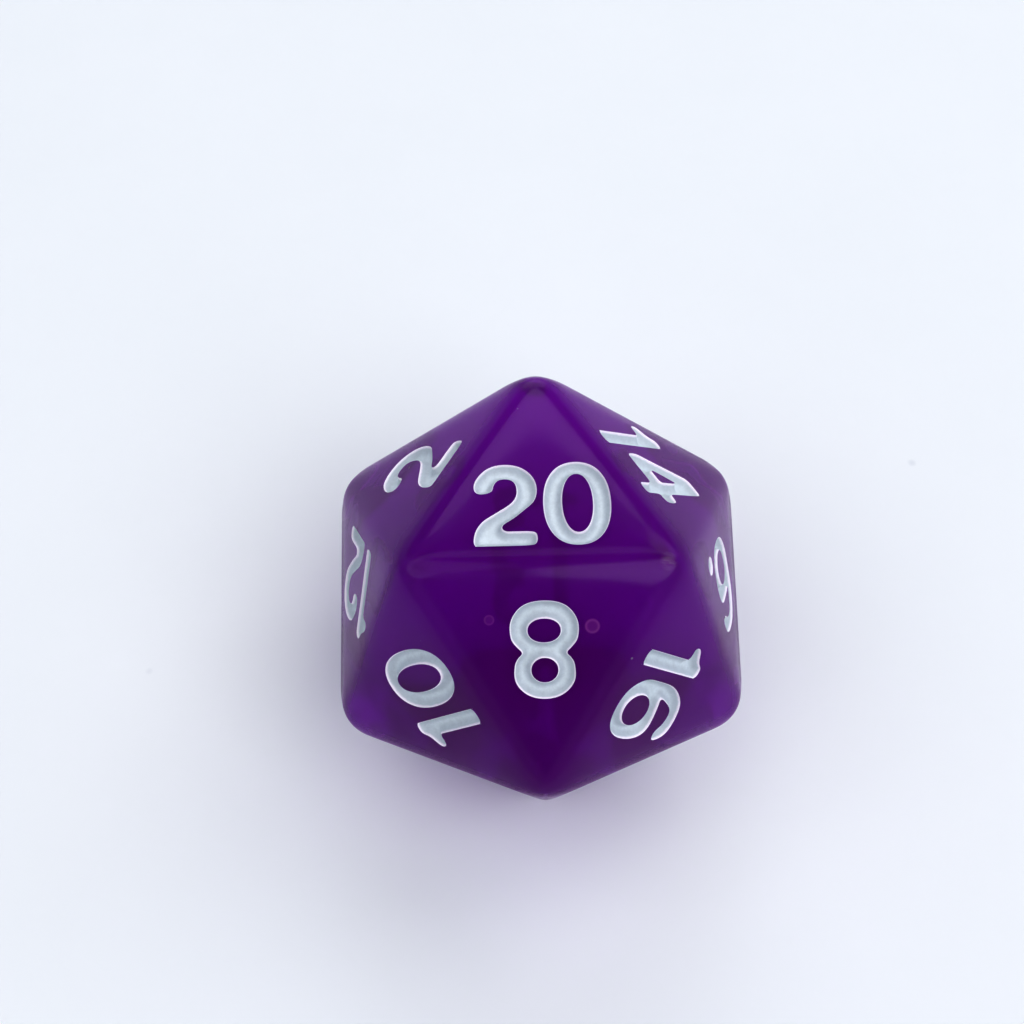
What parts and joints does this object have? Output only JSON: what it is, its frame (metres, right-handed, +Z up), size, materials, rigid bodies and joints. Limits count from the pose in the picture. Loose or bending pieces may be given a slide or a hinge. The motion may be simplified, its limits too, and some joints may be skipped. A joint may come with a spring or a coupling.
{
  "type": "polyhedral die",
  "caption": "Transparent purple polyhedral die with rounded edges, triangular faces and engraved numerals filled with white paint.",
  "frame": {"origin": "middle of face 1, the flat face that the die rests on", "axes": "+Z up through the middle of face 20; -Y towards the side of face 8; +X to the right of the numeral 20"},
  "size_m": [0.0212, 0.0238, 0.02],
  "materials": {
    "resin": "glossy, transparent dark purple",
    "numeral_paint": "satin white paint"
  },
  "bodies": {
    "root": {"die_body": "resin", "numeral_1_paint": "numeral_paint", "numeral_2_paint": "numeral_paint", "numeral_3_paint": "numeral_paint", "numeral_4_paint": "numeral_paint", "numeral_5_paint": "numeral_paint", "numeral_6_paint": "numeral_paint", "numeral_7_paint": "numeral_paint", "numeral_8_paint": "numeral_paint", "numeral_9_paint": "numeral_paint", "numeral_10_paint": "numeral_paint", "numeral_11_paint": "numeral_paint", "numeral_12_paint": "numeral_paint", "numeral_13_paint": "numeral_paint", "numeral_14_paint": "numeral_paint", "numeral_15_paint": "numeral_paint", "numeral_16_paint": "numeral_paint", "numeral_17_paint": "numeral_paint", "numeral_18_paint": "numeral_paint", "numeral_19_paint": "numeral_paint", "numeral_20_paint": "numeral_paint"}
  },
  "joints": []
}
